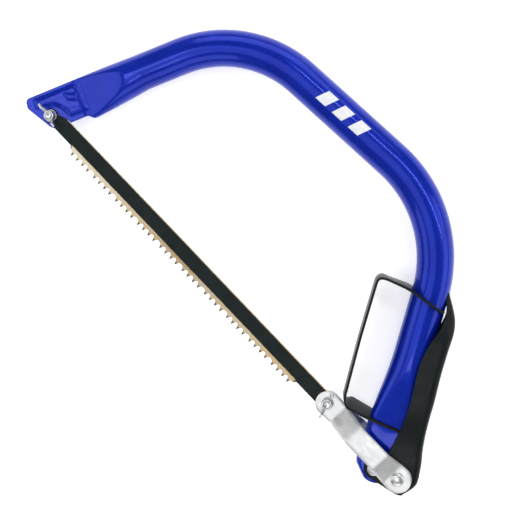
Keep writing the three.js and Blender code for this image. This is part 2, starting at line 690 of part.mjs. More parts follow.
const noseBack = NOSE_DROP - NOSE_PLATE;
place('blade', blade(), 'bladeSteel');
place('front_bolt', bolt(noseBack - GAP, FRONT_BOLT_TOP), 'zincPlate');
place('front_washer', washer(bladeFace + GAP), 'zincPlate');
const frontNutSeat = bladeFace + GAP + WASHER_THICKNESS + GAP;
const frontNutTurn = THREE.MathUtils.degToRad(-10.2);
place('front_wing_nut', wingNut(), 'zincPlate', saw, [0, 0, frontNutSeat], frontNutTurn);

const linkTop = LINK_LOW + LINK_SHEET / 2;
place('link_plate_front', linkPlate(1), 'zincPlate');
place('link_plate_back', linkPlate(-1), 'zincPlate');
place('rear_bolt', bolt(-linkTop - GAP, REAR_BOLT_TOP), 'zincPlate', saw, [REAR_BOLT.x, 0, 0]);
place('rear_washer', washer(linkTop + GAP), 'zincPlate', saw, [REAR_BOLT.x, 0, 0]);
const rearNutSeat = linkTop + GAP + WASHER_THICKNESS + GAP;
const rearNutTurn = THREE.MathUtils.degToRad(-75);
place('rear_wing_nut', wingNut(), 'zincPlate', saw, [REAR_BOLT.x, 0, rearNutSeat], rearNutTurn);

place('lever_channel', leverChannel(), 'blackPaint', handle);
const rivetAt = [LINK_RIVET.x, LINK_RIVET.y, 0];
const rivetSeat = LINK_HIGH + LINK_SHEET / 2 + GAP;
const rivet = headedPin(RIVET_RADIUS, RIVET_HEAD_RADIUS, rivetSeat, 0.7, 2.3);
place('link_rivet', rivet, 'zincPlate', saw, rivetAt);
const spacerHalf = LEVER_HALF_WIDTH - LEVER_SHEET - GAP;
const spacer = ring(RIVET_RADIUS + GAP, SPACER_RADIUS, -spacerHalf, spacerHalf);
place('link_spacer', spacer, 'zincPlate', saw, rivetAt);

const pinSeat = LEVER_HALF_WIDTH + GAP;
place('lever_pivot_pin', headedPin(PIN_RADIUS, PIN_HEAD_RADIUS, pinSeat, 0.3, 1.2), 'zincPlate', handle);
const bushFoot = HANDLE_FLAT + GAP;
const bushTop = LEVER_HALF_WIDTH - LEVER_SHEET - GAP;
place('pivot_bush_front', ring(PIN_RADIUS + GAP, BUSH_RADIUS, bushFoot, bushTop), 'zincPlate', handle);
place('pivot_bush_back', ring(PIN_RADIUS + GAP, BUSH_RADIUS, -bushTop, -bushFoot), 'zincPlate', handle);

place('knuckle_guard', knuckleGuard(), 'blackPaint', handle);

// The saw lies on its lowest points, with its own origin below the middle of its outline.
const bounds = new THREE.Box3().setFromObject(saw, true);
const middle = bounds.getCenter(new THREE.Vector3());
saw.position.set(-middle.x, -middle.y, -bounds.min.z);

export default saw;
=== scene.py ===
import math
import bmesh
import bpy
import numpy as np
from mathutils import Matrix, Vector


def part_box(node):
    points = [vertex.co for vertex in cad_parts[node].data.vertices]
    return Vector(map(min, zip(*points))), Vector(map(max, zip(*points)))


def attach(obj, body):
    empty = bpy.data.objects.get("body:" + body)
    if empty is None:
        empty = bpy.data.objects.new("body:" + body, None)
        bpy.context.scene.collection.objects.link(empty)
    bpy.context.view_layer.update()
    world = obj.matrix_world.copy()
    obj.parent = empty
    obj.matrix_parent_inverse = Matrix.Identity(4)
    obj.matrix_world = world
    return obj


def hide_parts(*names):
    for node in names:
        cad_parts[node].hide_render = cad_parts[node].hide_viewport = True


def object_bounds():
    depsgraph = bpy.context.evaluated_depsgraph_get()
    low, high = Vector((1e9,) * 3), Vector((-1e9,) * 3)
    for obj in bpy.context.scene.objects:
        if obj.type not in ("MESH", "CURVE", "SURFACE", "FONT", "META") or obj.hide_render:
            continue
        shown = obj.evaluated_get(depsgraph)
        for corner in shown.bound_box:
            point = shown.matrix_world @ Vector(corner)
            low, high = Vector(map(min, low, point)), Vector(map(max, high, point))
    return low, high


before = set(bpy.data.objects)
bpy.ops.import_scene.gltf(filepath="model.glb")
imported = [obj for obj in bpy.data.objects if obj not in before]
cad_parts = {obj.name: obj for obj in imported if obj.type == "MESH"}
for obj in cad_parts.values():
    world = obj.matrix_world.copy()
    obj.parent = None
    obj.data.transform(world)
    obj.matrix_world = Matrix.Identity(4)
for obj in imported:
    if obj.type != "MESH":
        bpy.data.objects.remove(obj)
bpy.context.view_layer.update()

# ---- The saw's own frame ---------------------------------------------------------------------
# Shapes are worked out in millimetres from the front blade bolt: X along the blade towards the
# handle, Y towards the bow, and Z up from the middle of the blade.

MM = 0.001


def middle(node):
    low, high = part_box(node)
    return (low + high) / 2


ORIGIN = Vector((middle("front_bolt").x, middle("front_bolt").y, middle("blade").z))


def local(point):
    return np.array((Vector(point) - ORIGIN) / MM)


def node_span(node):
    low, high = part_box(node)
    return local(low), local(high)


PIVOT = local(middle("lever_pivot_pin"))[:2]
REAR_BOLT = local(middle("rear_bolt"))[:2]
RIVET = local(middle("link_rivet"))[:2]

TUBE_RADIUS = 13.0
TUBE_WALL = 1.3
FRONT_BEND_RADIUS = 84.0
REAR_BEND_RADIUS = 92.0
NOSE_TILT = math.radians(-23.5)
HANDLE_TILT = math.radians(30)
NOSE_AXIS_OFFSET = 4.1
HANDLE_AXIS_OFFSET = 3.5
NOSE_TIP = -14.5
NOSE_CORNER = 154.9
HANDLE_CORNER = 185.3
HANDLE_END = 11.2

NOSE_PLATE = 1.2
NOSE_DROP = -1.9
HANDLE_FLAT = 5.0
HANDLE_DISH = 0.55


def ease(value, low, high):
    t = np.clip((np.asarray(value, float) - low) / (high - low), 0, 1)
    return t * t * (3 - 2 * t)


def mix(a, b, t):
    return a + (b - a) * t


def turn(angle, vector):
    c, s = math.cos(angle), math.sin(angle)
    return np.array([c * vector[0] - s * vector[1], s * vector[0] + c * vector[1]])


NOSE_FOOT = turn(NOSE_TILT, (-NOSE_AXIS_OFFSET, 0))
HANDLE_FOOT = PIVOT + turn(HANDLE_TILT, (HANDLE_AXIS_OFFSET, 0))


def in_handle(x, y):
    """A point drawn from the lever's pivot, Y up along the handle leg, in the saw's frame."""
    return PIVOT + turn(HANDLE_TILT, (x, y))


# ---- Mesh helpers ----------------------------------------------------------------------------

def make(name, points, faces, finish, body, stands_for=(), slot=None, sharp=40):
    """A piece from points in the saw's frame, riding on a CAD body."""
    mesh = bpy.data.meshes.new(name)
    mesh.from_pydata([tuple(ORIGIN + Vector(map(float, p)) * MM) for p in points], [], faces)
    shape = bmesh.new()
    shape.from_mesh(mesh)
    bmesh.ops.remove_doubles(shape, verts=shape.verts, dist=0.0002 * MM)
    bmesh.ops.recalc_face_normals(shape, faces=shape.faces)
    if shape.calc_volume(signed=True) < 0:
        bmesh.ops.reverse_faces(shape, faces=shape.faces)
    shape.to_mesh(mesh)
    shape.free()
    piece = bpy.data.objects.new(name, mesh)
    bpy.context.scene.collection.objects.link(piece)
    return dress(piece, finish, body, stands_for, sharp)


def dress(piece, finish, body, stands_for=(), sharp=40):
    piece.data.materials.clear()
    piece.data.materials.append(finish)
    if sharp:
        piece.data.shade_smooth()
        piece.data.set_sharp_from_angle(angle=math.radians(sharp))
    if body:
        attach(piece, body)
    if stands_for:
        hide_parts(*stands_for)
    return piece


def settle(piece):
    """Applies a piece's modifiers to its mesh."""
    bpy.context.view_layer.update()
    graph = bpy.context.evaluated_depsgraph_get()
    mesh = bpy.data.meshes.new_from_object(piece.evaluated_get(graph))
    piece.modifiers.clear()
    piece.data = mesh
    return piece


def bevel(piece, width, segments=2, angle=35):
    modifier = piece.modifiers.new("edge", "BEVEL")
    modifier.width = width * MM
    modifier.segments = segments
    modifier.limit_method = "ANGLE"
    modifier.angle_limit = math.radians(angle)
    modifier.harden_normals = False
    return piece


def join_or_cut(piece, tools, operation, solver="EXACT"):
    """Adds solids to a piece or cuts them from it, then removes them."""
    for tool in tools:
        modifier = piece.modifiers.new("solid", "BOOLEAN")
        modifier.operation = operation
        modifier.solver = solver
        modifier.object = tool
    settle(piece)
    for tool in tools:
        bpy.data.objects.remove(tool)
    return piece


def rows_to_faces(rows, count, closed=True, capped=True):
    """Quads between rows of points, each row a ring when closed, and flat ends when capped."""
    faces = []
    around = count if closed else count - 1
    for r in range(rows - 1):
        for i in range(around):
            a, b = r * count + i, r * count + (i + 1) % count
            faces.append((a, b, b + count, a + count))
    if capped:
        faces.append(tuple(reversed(range(count))))
        faces.append(tuple(range((rows - 1) * count, rows * count)))
    return faces


def turned(name, profile, at, finish, body, segments=64, **more):
    """A solid of revolution about a vertical line. The profile is a list of (radius, height)."""
    points, faces = [], []
    angles = [2 * math.pi * k / segments for k in range(segments)]
    ring = [(math.cos(angle), math.sin(angle)) for angle in angles]
    for radius, height in profile:
        points += [(at[0] + radius * c, at[1] + radius * s, at[2] + height) for c, s in ring]
    closed = profile[0] == profile[-1]
    if closed:
        points = points[:-segments]
    rows = len(profile) - 1 if closed else len(profile)
    faces = rows_to_faces(rows, segments, True, not closed)
    if closed:
        last = (rows - 1) * segments
        for i in range(segments):
            j = (i + 1) % segments
            faces.append((last + i, last + j, j, i))
    return make(name, points, faces, finish, body, **more)


def rounded(corners, steps=5):
    """A profile or outline whose corners, given as (x, y, radius), are rounded."""
    points = []
    total = len(corners)
    for i, (x, y, radius) in enumerate(corners):
        if not radius:
            points.append((x, y))
            continue
        here = np.array([x, y], float)
        before = np.array(corners[i - 1][:2], float) - here
        after = np.array(corners[(i + 1) % total][:2], float) - here
        back = min(radius, np.linalg.norm(before) * 0.49)
        ahead = min(radius, np.linalg.norm(after) * 0.49)
        start = here + before / np.linalg.norm(before) * back
        end = here + after / np.linalg.norm(after) * ahead
        for k in range(steps + 1):
            t = k / steps
            points.append(tuple((1 - t) ** 2 * start + 2 * t * (1 - t) * here + t * t * end))
    return points


def curve_through(*legs, steps=8):
    """Points along straight runs and quadratic bends: a leg is an end point, or a bend and an end point."""
    points = [np.array(legs[0], float)]
    for leg in legs[1:]:
        if len(leg) == 2:
            points.append(np.array(leg, float))
            continue
        start, bend, end = points[-1], np.array(leg[:2], float), np.array(leg[2:], float)
        for k in range(1, steps + 1):
            t = k / steps
            points.append((1 - t) ** 2 * start + 2 * t * (1 - t) * bend + t * t * end)
    return np.array(points)


# ---- Materials -------------------------------------------------------------------------------

class Finish:
    """A node material with short calls for the nodes that it needs."""

    def __init__(self, name, **sockets):
        self.material = bpy.data.materials.new(name)
        self.material.use_nodes = True
        self.nodes = self.material.node_tree.nodes
        self.links = self.material.node_tree.links
        self.shader = self.nodes["Principled BSDF"]
        self.place = self.nodes.new("ShaderNodeTexCoord").outputs["Object"]
        for socket, value in sockets.items():
            self.shader.inputs[socket.replace("_", " ")].default_value = value

    def add(self, kind, inputs=None, **settings):
        node = self.nodes.new(kind)
        for key, value in settings.items():
            setattr(node, key, value)
        for key, value in (inputs or {}).items():
            if isinstance(value, bpy.types.NodeSocket):
                self.links.new(value, node.inputs[key])
            else:
                node.inputs[key].default_value = value
        return node

    def noise(self, scale, detail=3.0, roughness=0.55, vector=None):
        return self.add("ShaderNodeTexNoise", {
            "Vector": vector or self.place, "Scale": scale, "Detail": detail, "Roughness": roughness,
        }).outputs["Fac"]

    def stretched(self, scale, rotation=0.0):
        """Coordinates squeezed along one direction, for brushed grain."""
        return self.add("ShaderNodeMapping", {
            "Vector": self.place, "Scale": scale, "Rotation": (0, 0, rotation),
        }).outputs["Vector"]

    def ramp(self, value, stops, interpolation="LINEAR"):
        node = self.add("ShaderNodeValToRGB", {"Fac": value})
        node.color_ramp.interpolation = interpolation
        elements = node.color_ramp.elements
        while len(elements) < len(stops):
            elements.new(0.5)
        for element, (position, colour) in zip(elements, stops):
            element.position = position
            element.color = (*colour, 1) if len(colour) == 3 else colour
        return node.outputs["Color"]

    def spread(self, value, low, high, to_low, to_high):
        return self.add("ShaderNodeMapRange", {
            "Value": value, "From Min": low, "From Max": high, "To Min": to_low, "To Max": to_high,
        }).outputs["Result"]

    def math(self, operation, a, b=0.0):
        return self.add("ShaderNodeMath", {0: a, 1: b}, operation=operation).outputs[0]

    def blend(self, share, a, b):
        node = self.add("ShaderNodeMix", data_type="RGBA")
        for key, value in ((0, share), (6, a), (7, b)):
            if isinstance(value, bpy.types.NodeSocket):
                self.links.new(value, node.inputs[key])
            else:
                node.inputs[key].default_value = value
        return node.outputs[2]

    def bump(self, height, strength, distance, after=None):
        inputs = {"Height": height, "Strength": strength, "Distance": distance * MM}
        if after is not None:
            inputs["Normal"] = after
        return self.add("ShaderNodeBump", inputs).outputs["Normal"]

    def wire(self, **sockets):
        for socket, value in sockets.items():
            self.links.new(value, self.shader.inputs[socket.replace("_", " ")])
        return self.material


def blue_enamel():
    """Royal blue powder coat: a faint orange peel, small shifts in depth and a glossy skin."""
    look = Finish(
        "blue_enamel", Metallic=0.35, Coat_Weight=0.4, Coat_Roughness=0.07, Coat_IOR=1.4,
        Specular_IOR_Level=0.12,
    )
    depth = look.ramp(look.noise(34.0, 4.0), [
        (0.25, (0.001, 0.014, 0.34)), (0.55, (0.002, 0.021, 0.40)), (0.85, (0.004, 0.029, 0.46)),
    ])
    gloss = look.spread(look.noise(120.0, 5.0, 0.65), 0.3, 0.75, 0.2, 0.34)
    peel = look.bump(look.noise(620.0, 2.0, 0.4), 0.12, 0.12)
    scuffs = look.noise(1.0, 6.0, 0.7, look.stretched((260.0, 1500.0, 260.0), 0.5))
    skin = look.bump(scuffs, 0.04, 0.05, peel)
    return look.wire(Base_Color=depth, Roughness=gloss, Normal=skin)


def black_paint():
    """Semi-gloss black paint with a fine stipple and rubbed, slightly paler patches."""
    look = Finish(
        "black_paint", Metallic=0.0, Specular_IOR_Level=0.13, Coat_Weight=0.03, Coat_Roughness=0.3,
    )
    tone = look.ramp(look.noise(60.0, 5.0, 0.6), [
        (0.3, (0.005, 0.007, 0.008)), (0.6, (0.007, 0.010, 0.011)), (0.85, (0.012, 0.015, 0.017)),
    ])
    gloss = look.spread(look.noise(95.0, 4.0), 0.3, 0.75, 0.3, 0.46)
    stipple = look.bump(look.noise(1500.0, 2.0, 0.5), 0.16, 0.08)
    waves = look.bump(look.noise(160.0, 2.0, 0.4), 0.08, 0.4, stipple)
    return look.wire(Base_Color=tone, Roughness=gloss, Normal=waves)


def zinc_plate(name, grain=0.0, roughness=(0.24, 0.42), shade=1.0):
    """Bright zinc plating: pale grey, faintly warm patches, and a rolled grain under it."""
    look = Finish(name, Metallic=1.0)
    tones = [(0.25, (0.62, 0.64, 0.66)), (0.5, (0.76, 0.77, 0.78)), (0.75, (0.84, 0.83, 0.8))]
    patches = look.ramp(look.noise(85.0, 5.0, 0.6), [
        (place, tuple(shade * channel for channel in tone)) for place, tone in tones
    ])
    lines = look.noise(1.0, 4.0, 0.6, look.stretched((140.0, 2600.0, 900.0), grain))
    gloss = look.spread(lines, 0.3, 0.7, *roughness)
    pits = look.bump(look.noise(900.0, 3.0, 0.6), 0.1, 0.06)
    brushed = look.bump(lines, 0.1, 0.05, pits)
    return look.wire(Base_Color=patches, Roughness=gloss, Normal=brushed)


def printed_white():
    """Screen-printed white ink, a little worn at a fine scale."""
    look = Finish("printed_white", Metallic=0.0, Coat_Weight=0.3, Coat_Roughness=0.12)
    tone = look.ramp(look.noise(300.0, 4.0), [(0.2, (0.72, 0.74, 0.8)), (0.6, (0.86, 0.87, 0.9))])
    gloss = look.spread(look.noise(240.0, 3.0), 0.3, 0.7, 0.26, 0.42)
    return look.wire(Base_Color=tone, Roughness=gloss, Normal=look.bump(look.noise(900.0), 0.1, 0.03))


def floor_paper():
    """Pale studio paper."""
    look = Finish(
        "floor_paper", Metallic=0.0, Specular_IOR_Level=0.1, Emission_Color=(1, 1, 1, 1),
        Emission_Strength=0.5,
    )
    tone = look.ramp(look.noise(6.0, 3.0), [(0.3, (0.93, 0.93, 0.93)), (0.7, (0.95, 0.95, 0.95))])
    rough = look.spread(look.noise(40.0), 0.3, 0.7, 0.85, 0.95)
    return look.wire(Base_Color=tone, Roughness=rough)


BLADE_BACK = 7.2
BLADE_FRONT = -6.2
TOOTH_TIP = -9.9
BLADE_LEAN = math.radians(-0.3)
BLADE_END_RADIUS = 5.2
BLADE_FRONT_PLAIN = -4.4
TOOTH_MARGIN = 4.0
BARE_BACK = 6.6
LACQUER_EDGE = -3.7
TOOTH_BLUE = (-6.9, -8.0)


def blade_steel():
    """Black lacquer over the body; the back edge and the toothed margin are bare, straw-tempered steel."""
    look = Finish("blade_steel", Metallic=0.0, Specular_IOR_Level=0.16)
    across = look.add("ShaderNodeMapping", {
        "Vector": look.place,
        "Location": tuple(-Vector((ORIGIN.x, ORIGIN.y, ORIGIN.z))),
    }).outputs["Vector"]
    level = look.add("ShaderNodeMapping", {
        "Vector": across, "Rotation": (0, 0, -BLADE_LEAN),
    }).outputs["Vector"]
    split = look.add("ShaderNodeSeparateXYZ", {"Vector": level})
    along, height = split.outputs["X"], split.outputs["Y"]
    ragged = look.spread(look.noise(420.0, 3.0), 0.3, 0.7, -0.15 * MM, 0.15 * MM)
    height = look.math("ADD", height, ragged)
    above = look.spread(height, (LACQUER_EDGE - 0.25) * MM, (LACQUER_EDGE + 0.25) * MM, 0.0, 1.0)
    before = look.spread(along, 25.5 * MM, 27.5 * MM, 1.0, 0.0)
    after = look.spread(along, 257 * MM, 259 * MM, 0.0, 1.0)
    above = look.math("MAXIMUM", above, look.math("MAXIMUM", before, after))
    below = look.spread(height, (BARE_BACK - 0.15) * MM, (BARE_BACK + 0.15) * MM, 1.0, 0.0)
    lacquered = look.math("MULTIPLY", above, below)
    lacquer = look.ramp(look.noise(150.0, 5.0), [
        (0.3, (0.003, 0.008, 0.009)), (0.7, (0.008, 0.013, 0.014)),
    ])
    temper = look.spread(along, 20 * MM, 190 * MM, 0.0, 1.0)
    straw = look.ramp(temper, [
        (0.0, (0.64, 0.56, 0.41)), (0.35, (0.52, 0.41, 0.24)),
        (0.7, (0.33, 0.22, 0.10)), (1.0, (0.44, 0.32, 0.16)),
    ])
    streak = look.noise(1.0, 4.0, 0.6, look.stretched((30.0, 900.0, 30.0)))
    mottled = look.blend(look.spread(streak, 0.35, 0.7, 0.0, 0.5), straw, (0.74, 0.71, 0.64, 1))
    hardened = look.spread(height, TOOTH_BLUE[0] * MM, TOOTH_BLUE[1] * MM, 0.0, 1.0)
    blued = look.ramp(look.noise(260.0, 3.0), [(0.35, (0.035, 0.035, 0.04)), (0.7, (0.16, 0.15, 0.13))])
    colour = look.blend(lacquered, look.blend(hardened, mottled, blued), lacquer)
    metal = look.spread(lacquered, 0.0, 1.0, 0.75, 0.05)
    bare_gloss = look.spread(streak, 0.3, 0.7, 0.3, 0.5)
    lacquer_gloss = look.spread(look.noise(200.0), 0.3, 0.7, 0.36, 0.5)
    gloss = look.blend(lacquered, bare_gloss, lacquer_gloss)
    grind = look.noise(1.0, 3.0, 0.6, look.stretched((2400.0, 60.0, 60.0)))
    surface = look.bump(grind, 0.12, 0.04, look.bump(look.noise(1100.0), 0.1, 0.04))
    return look.wire(Base_Color=colour, Metallic=metal, Roughness=gloss, Normal=surface)


# Radii of the holes.
BOLT_HOLE = 2.9
PIVOT_HOLE = 3.3
BLADE_HOLE = 2.7
REAR_BLADE_HOLE = 4.1
RIVET_HOLE = 2.8


def drill(radius, reach, at, finish):
    """A rod that cuts a round hole at one place, reaching up and down from the blade's middle."""
    profile = [(radius, -reach), (radius, reach)]
    return turned("drill", profile, (*at, 0), finish, None, 48, sharp=0)


BLUE = blue_enamel()
BLACK = black_paint()
ZINC = zinc_plate("zinc_small", 0.0, (0.22, 0.38), 0.8)
ZINC_PLATES = zinc_plate("zinc_plates", 0.0, (0.28, 0.46), 0.8)
STEEL = blade_steel()
INK = printed_white()

# ---- Bow tube --------------------------------------------------------------------------------

def bow_path():
    """The tube's centre line as straight runs and arcs: a list of (length, point at, tangent at)."""
    nose_up = turn(NOSE_TILT, (0, 1))
    handle_up = turn(HANDLE_TILT, (0, 1))
    corners = [
        NOSE_FOOT + nose_up * NOSE_TIP,
        NOSE_FOOT + nose_up * NOSE_CORNER,
        HANDLE_FOOT + handle_up * HANDLE_CORNER,
        HANDLE_FOOT - handle_up * HANDLE_END,
    ]
    pieces = []
    start = corners[0]
    for i, radius in ((1, FRONT_BEND_RADIUS), (2, REAR_BEND_RADIUS)):
        before = (corners[i] - corners[i - 1]) / np.linalg.norm(corners[i] - corners[i - 1])
        after = (corners[i + 1] - corners[i]) / np.linalg.norm(corners[i + 1] - corners[i])
        bend = math.atan2(before[0] * after[1] - before[1] * after[0], before @ after)
        setback = radius * math.tan(abs(bend) / 2)
        arc_start = corners[i] - before * setback
        pieces.append(("line", start, before, np.linalg.norm(arc_start - start)))
        pieces.append(("arc", arc_start, before, radius * abs(bend), radius, math.copysign(1, bend)))
        start = corners[i] + after * setback
    last = corners[3] - start
    pieces.append(("line", start, last / np.linalg.norm(last), np.linalg.norm(last)))
    return pieces


BOW = bow_path()
BOW_LENGTH = sum(piece[3] for piece in BOW)


def bow_at(run):
    """Point and tangent of the centre line at a distance from the nose's tip."""
    for piece in BOW:
        length = piece[3]
        if run <= length or piece is BOW[-1]:
            break
        run -= length
    start, heading = piece[1], piece[2]
    if piece[0] == "line":
        return start + heading * run, heading
    radius, side = piece[4], piece[5]
    normal = np.array([-heading[1], heading[0]]) * side
    angle = run / radius * side
    centre = start + normal * radius
    return centre + turn(angle, start - centre), turn(angle, heading)


# Edges of the pressed nose and of the pressed handle end, as distance across against distance
# along the leg. Inner is the blade's side and outer is the lever's side.
NOSE_INNER = curve_through(
    (-6.8, -14.5), (-6, -14.1, -4.6, -13.3), (10.6, -4.2), (13.9, -2, 13.9, 2.4), (13.9, 24.2),
    (13.9, 25.2, 15, 26.4), (16.6, 28.2), (17.6, 29.3, 17.5, 31.5), (17.1, 38, 16.4, 46), (15, 60, 13, 74),
)
NOSE_OUTER = curve_through(
    (8.6, -14.5), (9.6, -14.4, 10.6, -14.2), (13.9, -13.6, 13.9, -11), (13.9, 30), (13.6, 50, 13, 74),
)
HANDLE_INNER = curve_through(
    (5.1, -11.2), (8.1, -11.2, 9.9, -9.2), (16.2, -1.6), (17.6, 0.2, 17.6, 3.4), (17.4, 20),
    (16.9, 34, 15.2, 52),
    (13.2, 68, 13, 84),
)
HANDLE_OUTER = curve_through(
    (1.8, -11.2), (6.6, -10.4, 8.6, -2), (8.9, 6), (13.2, 12), (17.4, 22), (16.9, 36, 15.2, 52),
    (13.2, 68, 13, 84),
)


def read_edge(edge, height):
    return np.interp(height, edge[:, 1], edge[:, 0])


def rising(value, softness):
    """The value where it is positive and nothing where it is negative, with a soft change."""
    return (value + math.sqrt(value * value + softness * softness)) / 2


def tube_form(run):
    """Half widths outward and inward, upper and lower height, middle and edge radius of the section."""
    nose = run + NOSE_TIP
    handle = BOW_LENGTH - run - HANDLE_END
    inner = read_edge(NOSE_INNER, nose) if nose < 74 else read_edge(HANDLE_INNER, handle)
    outer = read_edge(NOSE_OUTER, nose) if nose < 74 else read_edge(HANDLE_OUTER, handle)
    opening = rising((nose - 23.0) / 40, 0.03)
    nose_height = NOSE_PLATE + 12.6 * opening ** 1.2
    handle_height = HANDLE_FLAT + 8.6 * rising((handle - 31) / 37, 0.16) ** 1.1
    height = min(nose_height, handle_height, 60.0)
    edge = mix(2.0, TUBE_RADIUS, float(ease(nose, 22, 64)))
    edge = mix(6.0, edge, float(ease(handle, 26, 84)))
    drop = NOSE_DROP * (1 - float(ease(nose, 24, 52)))
    return outer, inner, height, edge, drop


def soft_min(a, b, power=22.0):
    return (np.maximum(a, 1e-3) ** -power + b ** -power) ** (-1 / power)


PANEL_HEIGHT = 0.95
PANEL = (
    (-10.6, -7.5), (-4.9, -7.5), (-3.9, -0.5), (-2.6, 5.1),
    (0.8, 9.2), (9.2, 14.0), (9.6, 27.5), (-10.6, 27.5),
)
POCKET = ((-7.6, 14.3), (-2.4, 15.7), (0.2, 21.4), (-3.9, 23.2))
PANEL_SLOPE = 3.6
POCKET_SLOPE = 2.0
POCKET_DEPTH = 0.8
PULL_MARK = 0.06
PULL_PITCH = 8.4


def inside(outline, x, y, slope):
    """1 well inside an outline, 0 outside it, with a smooth slope across the edge."""
    nearest, within = 1e9, False
    for k, (ax, ay) in enumerate(outline):
        bx, by = outline[(k + 1) % len(outline)]
        share = ((x - ax) * (bx - ax) + (y - ay) * (by - ay)) / ((bx - ax) ** 2 + (by - ay) ** 2)
        share = min(max(share, 0.0), 1.0)
        nearest = min(nearest, math.hypot(x - mix(ax, bx, share), y - mix(ay, by, share)))
        if (ay > y) != (by > y) and x < ax + (bx - ax) * (y - ay) / (by - ay):
            within = not within
    return float(ease(nearest if within else -nearest, -0.4 * slope, 0.6 * slope))


def panel_rise(x, y):
    """Height of the raised panel above the nose plate, in the nose's own coordinates."""
    panel = PANEL_HEIGHT * inside(PANEL, x, y, PANEL_SLOPE)
    pocket = POCKET_DEPTH * inside(POCKET, x, y, POCKET_SLOPE)
    pull = PULL_MARK * math.sin(2 * math.pi * x / PULL_PITCH + 0.9 * math.sin(y / 5.0))
    return panel * (1 + pull) - pocket


def tube_section(run, count, inset=0.0):
    """Points round the tube at one distance along it."""
    point, tangent = bow_at(run)
    outward = np.array([-tangent[1], tangent[0]])
    outer, inner, height, edge, drop = tube_form(run)
    outer, inner, height = outer - inset, inner - inset, max(height - inset, 0.35)
    edge = min(max(edge - inset, 0.5), (outer + inner) / 2)
    on_nose = run + NOSE_TIP < 30
    handle_dish = HANDLE_DISH * (1 - float(ease(BOW_LENGTH - run - HANDLE_END, 14, 40)))
    points = []
    for k in range(count):
        angle = 2 * math.pi * (k + 0.5) / count
        across = (outer - inner) / 2 + (outer + inner) / 2 * math.cos(angle)
        reach = min(outer - across, inner + across)
        rise = math.sqrt(max(edge ** 2 - max(edge - reach, 0) ** 2, 0))
        rise = float(soft_min(rise, height * 1.01))
        z = drop + math.copysign(rise, math.sin(angle))
        if on_nose and not inset and math.sin(angle) > 0:
            z += panel_rise(-across, run + NOSE_TIP)
        if handle_dish and not inset:
            z -= math.copysign(handle_dish * max(0.0, 1 - (across / 12) ** 2) ** 2, math.sin(angle))
        flat = point + outward * across
        points.append((flat[0], flat[1], z))
    return points


def stations():
    """Distances along the tube: close together where it is pressed."""
    runs, run = [], 0.0
    while run < BOW_LENGTH - 0.9:
        runs.append(run)
        nose, handle = run + NOSE_TIP, BOW_LENGTH - run - HANDLE_END
        step = 0.5 if nose < 32 else 1.1 if nose < 80 else 2.4
        run += step if handle > 100 else 1.2 if handle > 12 else 0.6
    return runs + [BOW_LENGTH]


def frame_tube():
    """The bow: pressed ends, a rolled lip, the hollow handle end and the two holes."""
    count = 112
    runs = stations()
    rows = [tube_section(run, count) for run in runs]
    lip = [(0.35, 0.25), (0.9, 0.1), (1.3, 0.3)]
    rows[-1] = tube_section(BOW_LENGTH - 0.35, count)
    rows += [tube_section(BOW_LENGTH - back, count, inset) for inset, back in lip]
    inner_end = [BOW_LENGTH - d for d in (1.5, 4, 8, 14, 22, 32, 44)]
    rows += [tube_section(run, count, TUBE_WALL) for run in inner_end]
    points = [p for row in rows for p in row]
    tube = make("bow_tube", points, rows_to_faces(len(rows), count), BLUE, None, sharp=0)
    drills = [
        drill(BOLT_HOLE, 8, (0, 0), BLUE),
        drill(PIVOT_HOLE, 14, PIVOT, BLUE),
    ]
    join_or_cut(tube, drills, "DIFFERENCE", "MANIFOLD")
    return dress(tube, BLUE, "frame", ["frame_tube"], 38)


# ---- Printed bars ----------------------------------------------------------------------------

def printed_bars():
    """Three plain slanted bars printed on the bow, in place of a mark."""
    first, pitch, width, slant, tall = 128.0, 15.0, 9.0, 4.0, 9.6
    start = min(range(int(BOW_LENGTH)), key=lambda run: abs(bow_at(run)[0][0] - first))
    along_steps, across_steps = 8, 12
    points, faces = [], []
    for bar in range(3):
        for skin in (0.05, 0.12):
            for i in range(along_steps + 1):
                for j in range(across_steps + 1):
                    v = (j / across_steps - 0.5) * tall + 1.4
                    run = start + bar * pitch + width * i / along_steps + slant * (v / tall)
                    point, tangent = bow_at(run)
                    outward = np.array([-tangent[1], tangent[0]])
                    angle = math.asin(v / TUBE_RADIUS)
                    flat = point + outward * (TUBE_RADIUS + skin) * math.sin(angle)
                    points.append((*flat, (TUBE_RADIUS + skin) * math.cos(angle)))
        block = (along_steps + 1) * (across_steps + 1)
        base = bar * 2 * block
        wide = across_steps + 1
        for i in range(along_steps):
            for j in range(across_steps):
                a = base + i * wide + j
                faces.append((a, a + 1, a + 1 + wide, a + wide))
                faces.append((a + block, a + wide + block, a + 1 + wide + block, a + 1 + block))
        rim = [base + j for j in range(wide)]
        rim += [base + i * wide + across_steps for i in range(1, along_steps + 1)]
        rim += [base + along_steps * wide + j for j in range(across_steps - 1, -1, -1)]
        rim += [base + i * wide for i in range(along_steps - 1, 0, -1)]
        for k, a in enumerate(rim):
            b = rim[(k + 1) % len(rim)]
            faces.append((a, a + block, b + block, b))
    return make("printed_bars", points, faces, INK, "frame", sharp=30)


# ---- Blade -----------------------------------------------------------------------------------

BLADE_HALF = 0.4
TOOTH_START = 30.5
TOOTH_GROUPS = 10
TEETH_PER_GROUP = 4
GROUP_PITCH = 23.1
TOOTH_PITCH = 5.36
TOOTH_WIDTH = 2.9
TOOTH_SET = 0.35


